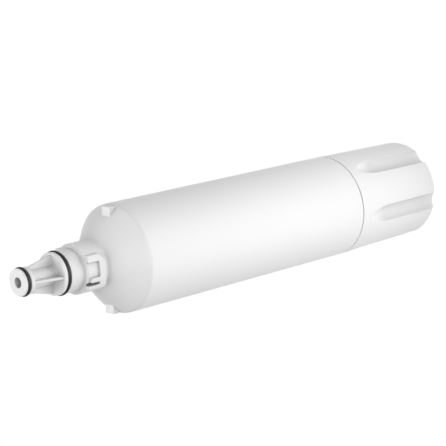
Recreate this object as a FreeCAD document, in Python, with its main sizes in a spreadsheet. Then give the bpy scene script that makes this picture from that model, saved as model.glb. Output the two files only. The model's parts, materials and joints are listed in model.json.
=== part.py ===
import FreeCAD, Part
import math
import os

import Sketcher

# Fridge water filter cartridge: a sealed barrel with a bayonet nose on top and a fluted grip cap below.
# The axis is +Z, the nose points up, and the origin is the centre of the cap's flat end, on which it stands.

# Driving dimensions: millimetres, degrees and counts
SIZES = {
    # Barrel and shoulder
    "body_radius": 26.0,
    "body_wall": 2.4,
    "barrel_length": 144.5,
    "shoulder_rise": 14.0,
    "shoulder_round": 2.7,
    "seam_chamfer": 0.3,
    # Neck, collar and the gland behind the large disc
    "neck_radius": 11.85,
    "neck_length": 12.1,
    "neck_fillet": 2.0,
    "neck_chamfer": 0.7,
    "collar_radius": 10.0,
    "collar_length": 7.28,
    "collar_fillet": 0.5,
    "disc_thickness": 1.85,
    # Ribbed nose and tip
    "nose_length": 13.38,
    "core_radius": 4.5,
    "rib_count": 4,
    "rib_thickness": 1.2,
    "rib_inset": 0.9,
    "tip_radius": 6.3,
    "tip_flange": 2.15,
    "tip_disc": 1.1,
    "port_radius": 2.4,
    "edge_round": 0.25,
    # Seals: each ring sits in a gland a little wider and deeper than itself
    "ring_thickness": 2.0,
    "ring_stand": 0.5,
    "gland_clearance": 0.06,
    # Water passages inside the nose
    "passage_radius": 7.2,
    "inlet_width": 1.7,
    "inlet_span": 54.0,
    "inlet_turn": 45.0,
    "inlet_count": 2,
    # Bayonet lugs
    "lug_count": 2,
    "lug_reach": 13.0,
    "lug_crown": 20.0,
    "lug_width": 16.0,
    "lug_length": 10.2,
    "lug_setback": 0.35,
    "lug_wide_bar": 3.0,
    "lug_pocket": 7.3,
    "lug_pocket_length": 6.4,
    "lug_mid_bar": 2.3,
    "lug_mid_setback": 1.4,
    "lug_slot": 1.4,
    "lug_slot_depth": 3.0,
    "lug_chamfer": 3.4,
    "lug_small_chamfer": 1.1,
    # Stop lugs on the shoulder
    "stop_count": 2,
    "stop_width": 5.7,
    "stop_inset": 0.5,
    "stop_lift": 4.7,
    # Grip cap
    "cap_length": 61.0,
    "cap_taper": 0.85,
    "cap_end_round": 4.6,
    "cap_wall": 2.4,
    "cap_floor": 3.0,
    "tongue_length": 7.0,
    "tongue_wall": 2.0,
    "tongue_clearance": 0.3,
    "flute_count": 6,
    "flute_turn": 22.8,
    "flute_radius": 5.0,
    "flute_depth": 2.8,
    "flute_start": 7.2,
    "flute_runout": 12.6,
    "flute_wall": 1.8,
    # Filter core: it fills the room inside, less a gap for the water round it and above it
    "water_gap": 0.6,
    "head_space": 8.0,
    "block_bore": 5.0,
    "core_clearance": 0.3,
    "wrap_thickness": 0.6,
    "net_thickness": 0.4,
    "end_cap_thickness": 2.5,
    "end_rim_length": 4.0,
    "foot_count": 4,
    "foot_height": 5.0,
    "foot_thickness": 2.0,
    "foot_length": 6.0,
    "spigot_radius": 4.4,
    "spigot_length": 10.5,
    "spigot_ring_thickness": 1.3,
    "spigot_ring_drop": 3.5,
    "socket_clearance": 0.2,
    "socket_wall": 1.9,
}

# Room that a cutting tool is given past the surface that it cuts through
OVERRUN = 2.0

doc = FreeCAD.newDocument("filter_cartridge")
sheet = doc.addObject("Spreadsheet::Sheet", "Sizes")


class Dim:
    """A size: its present value and the expression over the spreadsheet that drives it."""

    def __init__(self, value, text):
        self.value = value
        self.text = text

    def __add__(self, other):
        other = dim(other)
        return Dim(self.value + other.value, f"({self.text} + {other.text})")

    def __sub__(self, other):
        other = dim(other)
        return Dim(self.value - other.value, f"({self.text} - {other.text})")

    def __mul__(self, other):
        other = dim(other)
        return Dim(self.value * other.value, f"({self.text} * {other.text})")

    def __truediv__(self, other):
        other = dim(other)
        return Dim(self.value / other.value, f"({self.text} / {other.text})")

    def __neg__(self):
        return Dim(-self.value, f"(-1 * {self.text})")

    def __radd__(self, other):
        return dim(other) + self

    def __rsub__(self, other):
        return dim(other) - self

    def root(self):
        return Dim(math.sqrt(self.value), f"sqrt({self.text})")

    def within(self, limit):
        """This size, or the limit where that is smaller."""
        return Dim(min(self.value, limit.value), f"min({self.text}; {limit.text})")

    def lean(self):
        """The angle, in degrees, that has this size as its tangent."""
        return Dim(math.degrees(math.atan(self.value)), f"atan({self.text})")


def dim(value):
    """Return a plain number as a Dim, and a Dim as it is."""
    if isinstance(value, Dim):
        return value
    return Dim(value, f"{value:g}")


def fill_sheet():
    """Write the driving dimensions to the spreadsheet and return them as Dims by name."""
    for row, (name, value) in enumerate(SIZES.items(), start=1):
        sheet.set(f"A{row}", name)
        sheet.set(f"B{row}", f"{value:g}")
        sheet.setAlias(f"B{row}", name)
    doc.recompute()
    return {name: Dim(value, f"Sizes.{name}") for name, value in SIZES.items()}


size = fill_sheet()


class Stations:
    """Heights and radii that several pieces share, worked out from the driving dimensions."""

    gland_width = size["ring_thickness"] + size["gland_clearance"] * 2
    seam = size["cap_length"]
    corner = seam + size["barrel_length"]
    neck_root = corner + size["shoulder_rise"]
    neck_front = neck_root + size["neck_length"]
    neck_gland = neck_front + size["collar_length"]
    disc_back = neck_gland + gland_width
    disc_front = disc_back + size["disc_thickness"]
    flange_back = disc_front + size["nose_length"]
    tip_gland = flange_back + size["tip_flange"]
    tip_disc_back = tip_gland + gland_width
    tip = tip_disc_back + size["tip_disc"]
    tip_floor = size["tip_radius"] + size["ring_stand"] - size["ring_thickness"] - size["gland_clearance"]
    neck_floor = size["collar_radius"] + size["ring_stand"] - size["ring_thickness"] - size["gland_clearance"]
    bore = size["body_radius"] - size["body_wall"]
    slope = size["shoulder_rise"] / (size["body_radius"] - size["neck_radius"])
    drop = size["body_wall"] * (slope * slope + 1).root()
    lug_front = neck_front - size["lug_setback"]
    lug_back = lug_front - size["lug_length"]
    pocket_back = lug_front - size["lug_pocket_length"]
    cap_end = size["body_radius"] - size["cap_taper"]
    narrowing = size["cap_taper"] / size["cap_length"]
    block_bottom = size["cap_floor"] + size["foot_height"] + size["end_cap_thickness"]
    outlet_top = corner - size["head_space"]
    block_top = outlet_top - size["end_cap_thickness"]
    cap_waist = cap_end + narrowing * size["cap_floor"] - size["flute_depth"] - size["flute_wall"]
    net_outer = cap_waist - size["water_gap"]
    net_inner = net_outer - size["net_thickness"]
    wrap_outer = net_inner - size["core_clearance"]
    wrap_inner = wrap_outer - size["wrap_thickness"]
    block_radius = wrap_inner - size["core_clearance"]
    sleeve_bottom = block_bottom + size["end_rim_length"] + size["core_clearance"]
    sleeve_top = block_top - size["end_rim_length"] - size["core_clearance"]
    socket = size["spigot_radius"] + size["socket_clearance"]
    socket_end = outlet_top + size["core_clearance"]
    socket_top = outlet_top + size["spigot_length"] + size["core_clearance"]
    spigot_ring = outlet_top + size["spigot_length"] - size["spigot_ring_drop"]

    @classmethod
    def cone_height(cls, radius):
        """Height of the shoulder's outer cone at a radius."""
        return cls.corner + (size["body_radius"] - radius) * cls.slope

    @classmethod
    def land(cls, height):
        """Radius of the grip cap's outside between its flutes, which narrows towards its end."""
        return cls.cap_end + cls.narrowing * height


def new_body(label):
    """Start a sub-part."""
    body = doc.addObject("PartDesign::Body", label)
    body.Label = label
    return body


def origin_part(body, role):
    """Return one of a body's own origin planes or axes."""
    return next(item for item in body.Origin.OriginFeatures if item.Role == role)


def new_sketch(body, name, plane, turn=None, **offset):
    """Add a sketch on an origin plane, turned about its own y and offset along its own x, y or z."""
    sketch = body.newObject("Sketcher::SketchObject", name)
    sketch.AttachmentSupport = [(origin_part(body, plane), "")]
    sketch.MapMode = "FlatFace"
    if turn is not None:
        sketch.AttachmentOffset = FreeCAD.Placement(FreeCAD.Vector(), FreeCAD.Vector(0, 1, 0), turn.value)
        sketch.setExpression("AttachmentOffset.Rotation.Angle", turn.text)
    for axis, distance in offset.items():
        sketch.setExpression(f"AttachmentOffset.Base.{axis}", distance.text)
    return sketch


def hold(sketch, kind, geometry, point, value):
    """Fix one coordinate of a point, measured from the sketch's origin, to a size."""
    axis = -2 if kind == "DistanceX" else -1
    if value.value == 0:
        sketch.addConstraint(Sketcher.Constraint("PointOnObject", geometry, point, axis))
    elif value.value > 0:
        index = sketch.addConstraint(Sketcher.Constraint(kind, -1, 1, geometry, point, value.value))
        sketch.setExpression(f"Constraints[{index}]", value.text)
    else:
        index = sketch.addConstraint(Sketcher.Constraint(kind, geometry, point, -1, 1, -value.value))
        sketch.setExpression(f"Constraints[{index}]", (-value).text)


def place(sketch, geometry, point, x, y):
    """Fix a point of a sketch at x, y."""
    hold(sketch, "DistanceX", geometry, point, dim(x))
    hold(sketch, "DistanceY", geometry, point, dim(y))


def polygon(sketch, corners):
    """Draw a closed outline of straight lines through the corners."""
    corners = [(dim(x), dim(y)) for x, y in corners]
    places = [FreeCAD.Vector(x.value, y.value, 0) for x, y in corners]
    count = len(places)
    for index in range(count):
        sketch.addGeometry(Part.LineSegment(places[index], places[(index + 1) % count]))
    for index, (x, y) in enumerate(corners):
        sketch.addConstraint(Sketcher.Constraint("Coincident", index, 2, (index + 1) % count, 1))
        place(sketch, index, 1, x, y)
    return sketch


def circle(sketch, x, y, radius):
    """Draw a circle about x, y."""
    x, y, radius = dim(x), dim(y), dim(radius)
    centre = FreeCAD.Vector(x.value, y.value, 0)
    index = sketch.addGeometry(Part.Circle(centre, FreeCAD.Vector(0, 0, 1), radius.value))
    place(sketch, index, 3, x, y)
    bound = sketch.addConstraint(Sketcher.Constraint("Radius", index, radius.value))
    sketch.setExpression(f"Constraints[{bound}]", radius.text)
    return sketch


def revolve(body, name, corners):
    """Turn an outline of radius and height corners about the axis."""
    sketch = polygon(new_sketch(body, f"{name}_outline", "XZ_Plane"), corners)
    feature = body.newObject("PartDesign::Revolution", name)
    feature.Profile = sketch
    feature.ReferenceAxis = (sketch, ["V_Axis"])
    feature.Angle = 360.0
    doc.recompute()
    return feature


def pad(body, name, sketch, length, both_ways=False):
    """Raise a sketch by a length, to one side or half to each."""
    feature = body.newObject("PartDesign::Pad", name)
    feature.Profile = sketch
    feature.setExpression("Length", length.text)
    if both_ways:
        feature.SideType = "Symmetric"
    doc.recompute()
    return feature


def pocket(body, name, sketch, length, outwards=False):
    """Cut a sketch into the body by a length, against the sketch's normal or along it."""
    feature = body.newObject("PartDesign::Pocket", name)
    feature.Profile = sketch
    feature.setExpression("Length", length.text)
    feature.Reversed = outwards
    doc.recompute()
    return feature


def ring_pattern(body, name, features, count, angle=360.0):
    """Repeat features round the axis."""
    pattern = body.newObject("PartDesign::PolarPattern", name)
    pattern.Originals = features
    pattern.Axis = (origin_part(body, "Z_Axis"), [""])
    pattern.Angle = angle
    pattern.setExpression("Occurrences", count.text)
    body.Tip = pattern
    doc.recompute()
    return pattern


def round_edges(feature, places):
    """Name the round edges of a feature that lie at the given radius and height places."""
    names = []
    for radius, height in places:
        for index, edge in enumerate(feature.Shape.Edges, start=1):
            curve = edge.Curve
            if not isinstance(curve, Part.Circle) or abs(curve.Axis.z) < 0.999:
                continue
            if abs(curve.Radius - radius.value) < 0.001 and abs(curve.Center.z - height.value) < 0.001:
                names.append(f"Edge{index}")
    if len(names) != len(places):
        raise RuntimeError(f"{feature.Label}: found {len(names)} of {len(places)} edges")
    return names


def soften(body, kind, name, places, amount):
    """Fillet or chamfer the round edges at the given places of the body's present shape."""
    base = body.Tip
    feature = body.newObject(f"PartDesign::{kind}", name)
    feature.Base = (base, round_edges(base, places))
    feature.setExpression("Radius" if kind == "Fillet" else "Size", amount.text)
    doc.recompute()
    return feature


def housing():
    """The barrel, shoulder, neck and nose, one moulding with a tube down its middle."""
    at = Stations
    body = new_body("housing")
    centre_tube = at.socket + size["socket_wall"]
    tube_step = at.socket_top + size["socket_wall"]
    ledge = size["neck_radius"] - size["collar_radius"]
    neck_chamfer = size["neck_chamfer"].within(ledge / 2)
    collar_fillet = size["collar_fillet"].within(ledge / 3)
    revolve(body, "shell", [
        (size["port_radius"], at.tip),
        (size["tip_radius"], at.tip),
        (size["tip_radius"], at.tip_disc_back),
        (at.tip_floor, at.tip_disc_back),
        (at.tip_floor, at.tip_gland),
        (size["tip_radius"], at.tip_gland),
        (size["tip_radius"], at.flange_back),
        (size["core_radius"], at.flange_back),
        (size["core_radius"], at.disc_front),
        (size["collar_radius"], at.disc_front),
        (size["collar_radius"], at.disc_back),
        (at.neck_floor, at.disc_back),
        (at.neck_floor, at.neck_gland),
        (size["collar_radius"], at.neck_gland),
        (size["collar_radius"], at.neck_front),
        (size["neck_radius"], at.neck_front),
        (size["neck_radius"], at.neck_root),
        (size["body_radius"], at.corner),
        (size["body_radius"], at.seam),
        (at.bore, at.seam),
        (at.bore, at.cone_height(at.bore) - at.drop),
        (size["passage_radius"], at.cone_height(size["passage_radius"]) - at.drop),
        (size["passage_radius"], at.disc_back),
        (size["core_radius"], at.disc_back),
        (size["core_radius"], tube_step + centre_tube - size["core_radius"]),
        (centre_tube, tube_step),
        (centre_tube, at.socket_end),
        (at.socket, at.socket_end),
        (at.socket, at.socket_top),
        (size["port_radius"], at.socket_top),
    ])
    soften(body, "Fillet", "shoulder_corner", [(size["body_radius"], at.corner)], size["shoulder_round"])
    soften(body, "Fillet", "neck_foot", [(size["neck_radius"], at.neck_root)], size["neck_fillet"])
    soften(body, "Chamfer", "neck_edge", [(size["neck_radius"], at.neck_front)], neck_chamfer)
    soften(body, "Fillet", "collar_foot", [(size["collar_radius"], at.neck_front)], collar_fillet)
    soften(body, "Chamfer", "seam_edge", [(size["body_radius"], at.seam)], size["seam_chamfer"])
    soften(body, "Fillet", "nose_edges", [
        (size["port_radius"], at.tip),
        (size["tip_radius"], at.tip),
        (size["tip_radius"], at.flange_back),
        (size["collar_radius"], at.disc_front),
    ], size["edge_round"])
    nose_ribs(body)
    inlet_slots(body)
    bayonet_lugs(body)
    stop_lugs(body)
    return body


def nose_ribs(body):
    """Thin ribs between the tip flange and the large disc, widening towards the disc."""
    at = Stations
    root = (size["core_radius"] + size["port_radius"]) / 2
    sketch = polygon(new_sketch(body, "rib_outline", "XZ_Plane"), [
        (root, at.flange_back + size["tip_flange"] / 2),
        (size["tip_radius"] - size["edge_round"], at.flange_back + size["tip_flange"] / 2),
        (size["tip_radius"] - size["edge_round"], at.flange_back),
        (size["collar_radius"] - size["rib_inset"], at.disc_front),
        (size["collar_radius"] - size["rib_inset"], at.disc_front - size["disc_thickness"] / 2),
        (root, at.disc_front - size["disc_thickness"] / 2),
    ])
    rib = pad(body, "rib", sketch, size["rib_thickness"], both_ways=True)
    ring_pattern(body, "ribs", [rib], size["rib_count"])


def inlet_slots(body):
    """Curved slots through the large disc, between the ribs, into the passage round the centre tube."""
    at = Stations
    inner = size["passage_radius"] - size["inlet_width"]
    sketch = polygon(new_sketch(body, "inlet_outline", "XZ_Plane", turn=size["inlet_turn"]), [
        (inner, at.disc_back - OVERRUN),
        (size["passage_radius"], at.disc_back - OVERRUN),
        (size["passage_radius"], at.disc_front + OVERRUN),
        (inner, at.disc_front + OVERRUN),
    ])
    slot = body.newObject("PartDesign::Groove", "inlet")
    slot.Profile = sketch
    slot.ReferenceAxis = (sketch, ["V_Axis"])
    slot.setExpression("Angle", size["inlet_span"].text)
    slot.Midplane = True
    doc.recompute()
    ring_pattern(body, "inlets", [slot], size["inlet_count"], angle=90.0)


def bayonet_lugs(body):
    """Crowned E-shaped lugs on the neck: a wide bar, a pocket, a middle bar, a narrow slot and a thin bar."""
    at = Stations
    side = size["lug_width"] / 2
    pocket_side = side - size["lug_wide_bar"]
    mid_top = pocket_side - size["lug_pocket"]
    slot_top = mid_top - size["lug_mid_bar"]
    slot_bottom = slot_top - size["lug_slot"]
    plate = polygon(new_sketch(body, "lug_outline", "XZ_Plane", z=size["passage_radius"]), [
        (side, at.lug_front),
        (side, at.lug_back + size["lug_chamfer"]),
        (side - size["lug_chamfer"], at.lug_back),
        (-(side - size["lug_small_chamfer"]), at.lug_back),
        (-side, at.lug_back + size["lug_small_chamfer"]),
        (-side, at.lug_front),
        (slot_bottom, at.lug_front),
        (slot_bottom, at.pocket_back),
        (slot_top, at.pocket_back),
        (slot_top, at.lug_front - size["lug_mid_setback"]),
        (mid_top, at.lug_front - size["lug_mid_setback"]),
        (mid_top, at.pocket_back),
        (pocket_side, at.pocket_back),
        (pocket_side, at.lug_front),
    ])
    lug = pad(body, "lug", plate, size["lug_reach"] - size["passage_radius"] + OVERRUN)
    crown = new_sketch(body, "crown_outline", "XY_Plane", z=at.lug_front)
    circle(crown, 0, size["lug_crown"] - size["lug_reach"], size["lug_crown"])
    circle(crown, 0, size["lug_crown"] - size["lug_reach"], size["lug_crown"] + size["lug_reach"] / 2)
    trim = pocket(body, "lug_crown", crown, size["lug_length"])
    neck_face = (size["neck_radius"] * size["neck_radius"] - slot_bottom * slot_bottom).root()
    slot_floor = neck_face - size["lug_slot_depth"]
    slit = polygon(new_sketch(body, "slot_outline", "XZ_Plane", z=slot_floor), [
        (slot_bottom, at.lug_front),
        (slot_bottom, at.pocket_back),
        (slot_top, at.pocket_back),
        (slot_top, at.lug_front),
    ])
    cut = pocket(body, "lug_slot", slit, size["lug_reach"] - slot_floor, outwards=True)
    ring_pattern(body, "lugs", [lug, trim, cut], size["lug_count"])


def stop_lugs(body):
    """Small square stops that stand up from the shoulder's outer edge."""
    at = Stations
    top = at.corner + size["stop_lift"]
    reach = size["body_radius"] - size["stop_inset"]
    root = reach - size["stop_lift"]
    half_wall = size["body_wall"] / 2
    sketch = polygon(new_sketch(body, "stop_outline", "XZ_Plane"), [
        (reach, top),
        (reach, at.cone_height(reach) - half_wall),
        (root, at.cone_height(root) - half_wall),
        (root, top),
    ])
    stop = pad(body, "stop", sketch, size["stop_width"], both_ways=True)
    ring_pattern(body, "stops", [stop], size["stop_count"])


def straight_cut(body, name, start, end, radius):
    """Cut a straight round groove between two places, each a radius and a height."""
    reach = end[0] - start[0]
    rise = end[1] - start[1]
    lean = (reach / rise).lean()
    sketch = new_sketch(body, f"{name}_section", "XY_Plane", turn=lean, x=start[0], z=start[1])
    circle(sketch, 0, 0, radius)
    length = (reach * reach + rise * rise).root()
    return pocket(body, name, sketch, length, outwards=True)


def round_cut(body, name, centre, radius):
    """Cut a ball about a place given by its radius and height."""
    sketch = new_sketch(body, f"{name}_outline", "XZ_Plane", x=centre[0], y=centre[1])
    middle = FreeCAD.Vector()
    whole = Part.Circle(middle, FreeCAD.Vector(0, 0, 1), radius.value)
    arc = sketch.addGeometry(Part.ArcOfCircle(whole, -math.pi / 2, math.pi / 2))
    foot = FreeCAD.Vector(0, -radius.value, 0)
    chord = sketch.addGeometry(Part.LineSegment(-foot, foot))
    sketch.addConstraint(Sketcher.Constraint("Coincident", arc, 2, chord, 1))
    sketch.addConstraint(Sketcher.Constraint("Coincident", chord, 2, arc, 1))
    sketch.addConstraint(Sketcher.Constraint("PointOnObject", chord, 1, -2))
    sketch.addConstraint(Sketcher.Constraint("PointOnObject", chord, 2, -2))
    sketch.addConstraint(Sketcher.Constraint("Coincident", arc, 3, -1, 1))
    bound = sketch.addConstraint(Sketcher.Constraint("Radius", arc, radius.value))
    sketch.setExpression(f"Constraints[{bound}]", radius.text)
    ball = body.newObject("PartDesign::Groove", name)
    ball.Profile = sketch
    ball.ReferenceAxis = (sketch, ["V_Axis"])
    ball.Angle = 360.0
    doc.recompute()
    return ball


def cut_flutes(body, radius):
    """Cut the ring of finger flutes: a round cutter follows the wall, then climbs out below the seam."""
    at = Stations
    tip = at.seam - size["flute_start"]
    turn_up = tip - size["flute_runout"]
    entry = dim(-OVERRUN)
    seat = size["flute_radius"] - size["flute_depth"]
    entry_place = (at.land(entry) + seat, entry)
    turn_place = (at.land(turn_up) + seat, turn_up)
    tip_place = (at.land(tip) + size["flute_radius"], tip)
    run = straight_cut(body, "flute_run", entry_place, turn_place, radius)
    climb = straight_cut(body, "flute_climb", turn_place, tip_place, radius)
    turn = round_cut(body, "flute_turn", turn_place, radius)
    ring_pattern(body, "flutes", [run, climb, turn], size["flute_count"])


def cap_hollow():
    """The space inside the grip cap, drawn in behind the flutes so that the wall there stays even."""
    at = Stations
    body = new_body("cap_hollow")
    tongue_bore = at.bore - size["tongue_clearance"] - size["tongue_wall"]
    wide = at.land(size["cap_floor"]) - size["cap_wall"]
    top = at.seam + size["tongue_length"]
    revolve(body, "space", [
        (0, size["cap_floor"]),
        (wide, size["cap_floor"]),
        (wide, at.seam - (wide - tongue_bore)),
        (tongue_bore, at.seam),
        (tongue_bore, top + OVERRUN),
        (0, top + OVERRUN),
    ])
    cut_flutes(body, size["flute_radius"] + size["flute_wall"])
    return body


def grip_cap():
    """The fluted cap, welded to the barrel by a tongue that stands inside the barrel's end."""
    at = Stations
    body = new_body("grip_cap")
    tongue = at.bore - size["tongue_clearance"]
    revolve(body, "outside", [
        (0, 0),
        (at.cap_end, 0),
        (size["body_radius"], at.seam),
        (tongue, at.seam),
        (tongue, at.seam + size["tongue_length"]),
        (0, at.seam + size["tongue_length"]),
    ])
    soften(body, "Fillet", "end_edge", [(at.cap_end, dim(0))], size["cap_end_round"])
    soften(body, "Chamfer", "seam_edge", [(size["body_radius"], at.seam)], size["seam_chamfer"])
    cut_flutes(body, size["flute_radius"])
    hollow = body.newObject("PartDesign::Boolean", "hollow")
    hollow.Type = "Cut"
    hollow.setObjects([cap_hollow()])
    body.Tip = hollow
    body.Placement = FreeCAD.Placement(FreeCAD.Vector(), FreeCAD.Vector(0, 0, 1), size["flute_turn"].value)
    body.setExpression("Placement.Rotation.Angle", size["flute_turn"].text)
    doc.recompute()
    return body


def o_ring(label, floor, thickness, height):
    """A round seal that lies in a gland."""
    ring = doc.addObject("Part::Torus", label)
    ring.Label = label
    ring.setExpression("Radius1", (floor + size["gland_clearance"] + thickness / 2).text)
    ring.setExpression("Radius2", (thickness / 2).text)
    ring.setExpression("Placement.Base.z", height.text)
    doc.recompute()
    return ring


def tube(label, inner, outer, bottom, top):
    """A plain sleeve."""
    body = new_body(label)
    revolve(body, "wall", [(inner, bottom), (outer, bottom), (outer, top), (inner, top)])
    return body


def outlet_end_cap():
    """The cup on the block's nose end, with the spigot that plugs into the housing's centre tube."""
    at = Stations
    body = new_body("outlet_end_cap")
    floor = at.socket - size["gland_clearance"] * 2 - size["spigot_ring_thickness"]
    half_gland = size["spigot_ring_thickness"] / 2 + size["gland_clearance"]
    spigot_top = at.outlet_top + size["spigot_length"]
    revolve(body, "cup", [
        (size["port_radius"], at.block_top),
        (at.wrap_inner, at.block_top),
        (at.wrap_inner, at.block_top - size["end_rim_length"]),
        (at.net_outer, at.block_top - size["end_rim_length"]),
        (at.net_outer, at.outlet_top),
        (size["spigot_radius"], at.outlet_top),
        (size["spigot_radius"], at.spigot_ring - half_gland),
        (floor, at.spigot_ring - half_gland),
        (floor, at.spigot_ring + half_gland),
        (size["spigot_radius"], at.spigot_ring + half_gland),
        (size["spigot_radius"], spigot_top),
        (size["port_radius"], spigot_top),
    ])
    return body


def closed_end_cap():
    """The cup on the block's other end, with feet that stand on the grip cap's floor."""
    at = Stations
    body = new_body("closed_end_cap")
    underside = at.block_bottom - size["end_cap_thickness"]
    revolve(body, "cup", [
        (0, underside),
        (at.net_outer, underside),
        (at.net_outer, at.block_bottom + size["end_rim_length"]),
        (at.wrap_inner, at.block_bottom + size["end_rim_length"]),
        (at.wrap_inner, at.block_bottom),
        (0, at.block_bottom),
    ])
    outer = at.block_radius
    inner = outer - size["foot_length"]
    sketch = polygon(new_sketch(body, "foot_outline", "XZ_Plane"), [
        (inner, size["cap_floor"]),
        (outer, size["cap_floor"]),
        (outer, underside + size["end_cap_thickness"] / 2),
        (inner, underside + size["end_cap_thickness"] / 2),
    ])
    foot = pad(body, "foot", sketch, size["foot_thickness"], both_ways=True)
    ring_pattern(body, "feet", [foot], size["foot_count"])
    return body


def build_pieces():
    """Build every sub-part of the cartridge."""
    at = Stations
    ring = size["ring_thickness"]
    spigot_floor = at.socket - size["gland_clearance"] * 2 - size["spigot_ring_thickness"]
    return [
        housing(),
        grip_cap(),
        o_ring("tip_o_ring", at.tip_floor, ring, at.tip_gland + at.gland_width / 2),
        o_ring("neck_o_ring", at.neck_floor, ring, at.neck_gland + at.gland_width / 2),
        tube("carbon_block", size["block_bore"], at.block_radius, at.block_bottom, at.block_top),
        tube("prefilter_wrap", at.wrap_inner, at.wrap_outer, at.sleeve_bottom, at.sleeve_top),
        tube("netting_sleeve", at.net_inner, at.net_outer, at.sleeve_bottom, at.sleeve_top),
        outlet_end_cap(),
        closed_end_cap(),
        o_ring("spigot_o_ring", spigot_floor, size["spigot_ring_thickness"], at.spigot_ring),
    ]


def write_pieces(pieces):
    """Check the whole document, then write each sub-part to its own file."""
    for item in doc.Objects:
        if "Invalid" in item.State or "Error" in item.State:
            raise RuntimeError(f"{item.Label} failed: {item.getStatusString()}")
    for piece in pieces:
        shape = piece.Shape
        if shape.isNull() or not shape.isValid() or len(shape.Solids) != 1:
            raise RuntimeError(f"{piece.Label} is not one sound solid")
    os.makedirs("parts", exist_ok=True)
    for piece in pieces:
        piece.Shape.exportStep(f"parts/{piece.Label}.step")
        box = piece.Shape.optimalBoundingBox(False)
        print(f"{piece.Label}: volume {piece.Shape.Volume:.1f}, z {box.ZMin:.2f} to {box.ZMax:.2f}")


write_pieces(build_pieces())
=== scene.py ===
import json
import math

import bmesh
import bpy
from bpy.props import FloatProperty, FloatVectorProperty, IntProperty, PointerProperty
from mathutils import Matrix, Vector


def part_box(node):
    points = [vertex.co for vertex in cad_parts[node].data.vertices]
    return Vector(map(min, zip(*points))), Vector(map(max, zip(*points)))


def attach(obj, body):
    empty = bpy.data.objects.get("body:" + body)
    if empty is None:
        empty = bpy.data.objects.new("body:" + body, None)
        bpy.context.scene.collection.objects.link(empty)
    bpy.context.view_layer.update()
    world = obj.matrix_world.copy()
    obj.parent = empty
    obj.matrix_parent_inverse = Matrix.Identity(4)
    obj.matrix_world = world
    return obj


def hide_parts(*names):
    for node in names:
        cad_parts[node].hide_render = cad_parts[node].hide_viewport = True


bl_info = {
    "name": "Fridge water filter cartridge",
    "version": (1, 0, 0),
    "blender": (4, 5, 0),
    "location": "View3D > Sidebar > Cartridge",
    "description": "Builds the cartridge's moulded housing, fluted grip cap and seals over its packed solids",
    "category": "Object",
}

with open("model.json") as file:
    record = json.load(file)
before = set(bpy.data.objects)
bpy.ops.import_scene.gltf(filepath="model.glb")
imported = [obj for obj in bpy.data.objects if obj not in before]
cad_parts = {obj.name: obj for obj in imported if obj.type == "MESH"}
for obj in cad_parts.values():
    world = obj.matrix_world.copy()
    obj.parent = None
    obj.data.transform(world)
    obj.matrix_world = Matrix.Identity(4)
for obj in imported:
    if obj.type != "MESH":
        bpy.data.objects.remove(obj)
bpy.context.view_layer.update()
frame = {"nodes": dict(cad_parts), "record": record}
BODY = "root"
MM = 0.001
TINY = MM * MM
FULL_TURN = 2 * math.pi

HOUSING_LOW, HOUSING_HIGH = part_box("housing")
TIP_RING_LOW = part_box("tip_o_ring")[0]
NECK_RING_LOW, NECK_RING_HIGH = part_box("neck_o_ring")
PORT = next(mount for mount in frame["record"]["mounts"] if mount["name"] == "outlet_port")
COLOURS = {entry["slot"]: entry["base_color"] for entry in frame["record"]["materials"]}


# Properties

def length(title, millimetres):
    """A length that a user can change."""
    return FloatProperty(name=title, default=millimetres * MM, unit="LENGTH", precision=5)


def angle(title, degrees):
    """An angle that a user can change."""
    return FloatProperty(name=title, default=math.radians(degrees), subtype="ANGLE")


def count(title, default):
    """A number of repeats."""
    return IntProperty(name=title, default=default, min=1)


def share(title, default):
    """A number from 0 to 1."""
    return FloatProperty(name=title, default=default, min=0.0, max=1.0, subtype="FACTOR")


def amount(title, default):
    """Any other number from 0 upwards."""
    return FloatProperty(name=title, default=default, min=0.0)


def spot(title, default):
    """A point or a direction."""
    return FloatVectorProperty(name=title, default=default, size=3, subtype="XYZ")


def colour(title, slot):
    """A linear colour, at first the one that the record gives a slot."""
    return FloatVectorProperty(name=title, default=COLOURS[slot], size=3, min=0.0, max=1.0, subtype="COLOR")


class BarrelSizes(bpy.types.PropertyGroup):
    """Barrel, shoulder and neck of the housing."""

    radius: length("Barrel radius", HOUSING_HIGH.x / MM)
    wall: length("Barrel wall", 2.4)
    barrel: length("Seam to the shoulder's corner", 144.5)
    shoulder: length("Shoulder rise", 14.0)
    shoulder_round: length("Shoulder rounding", 2.7)
    seam_gap: length("Width of the seam's groove", 0.62)
    seam_depth: length("Depth of the seam's groove", 1.3)
    neck_radius: length("Neck radius", 11.85)
    neck: length("Neck length", 12.1)
    neck_fillet: length("Rounding at the neck's foot", 2.0)
    neck_chamfer: length("Bevel round the neck's front", 0.7)


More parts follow.
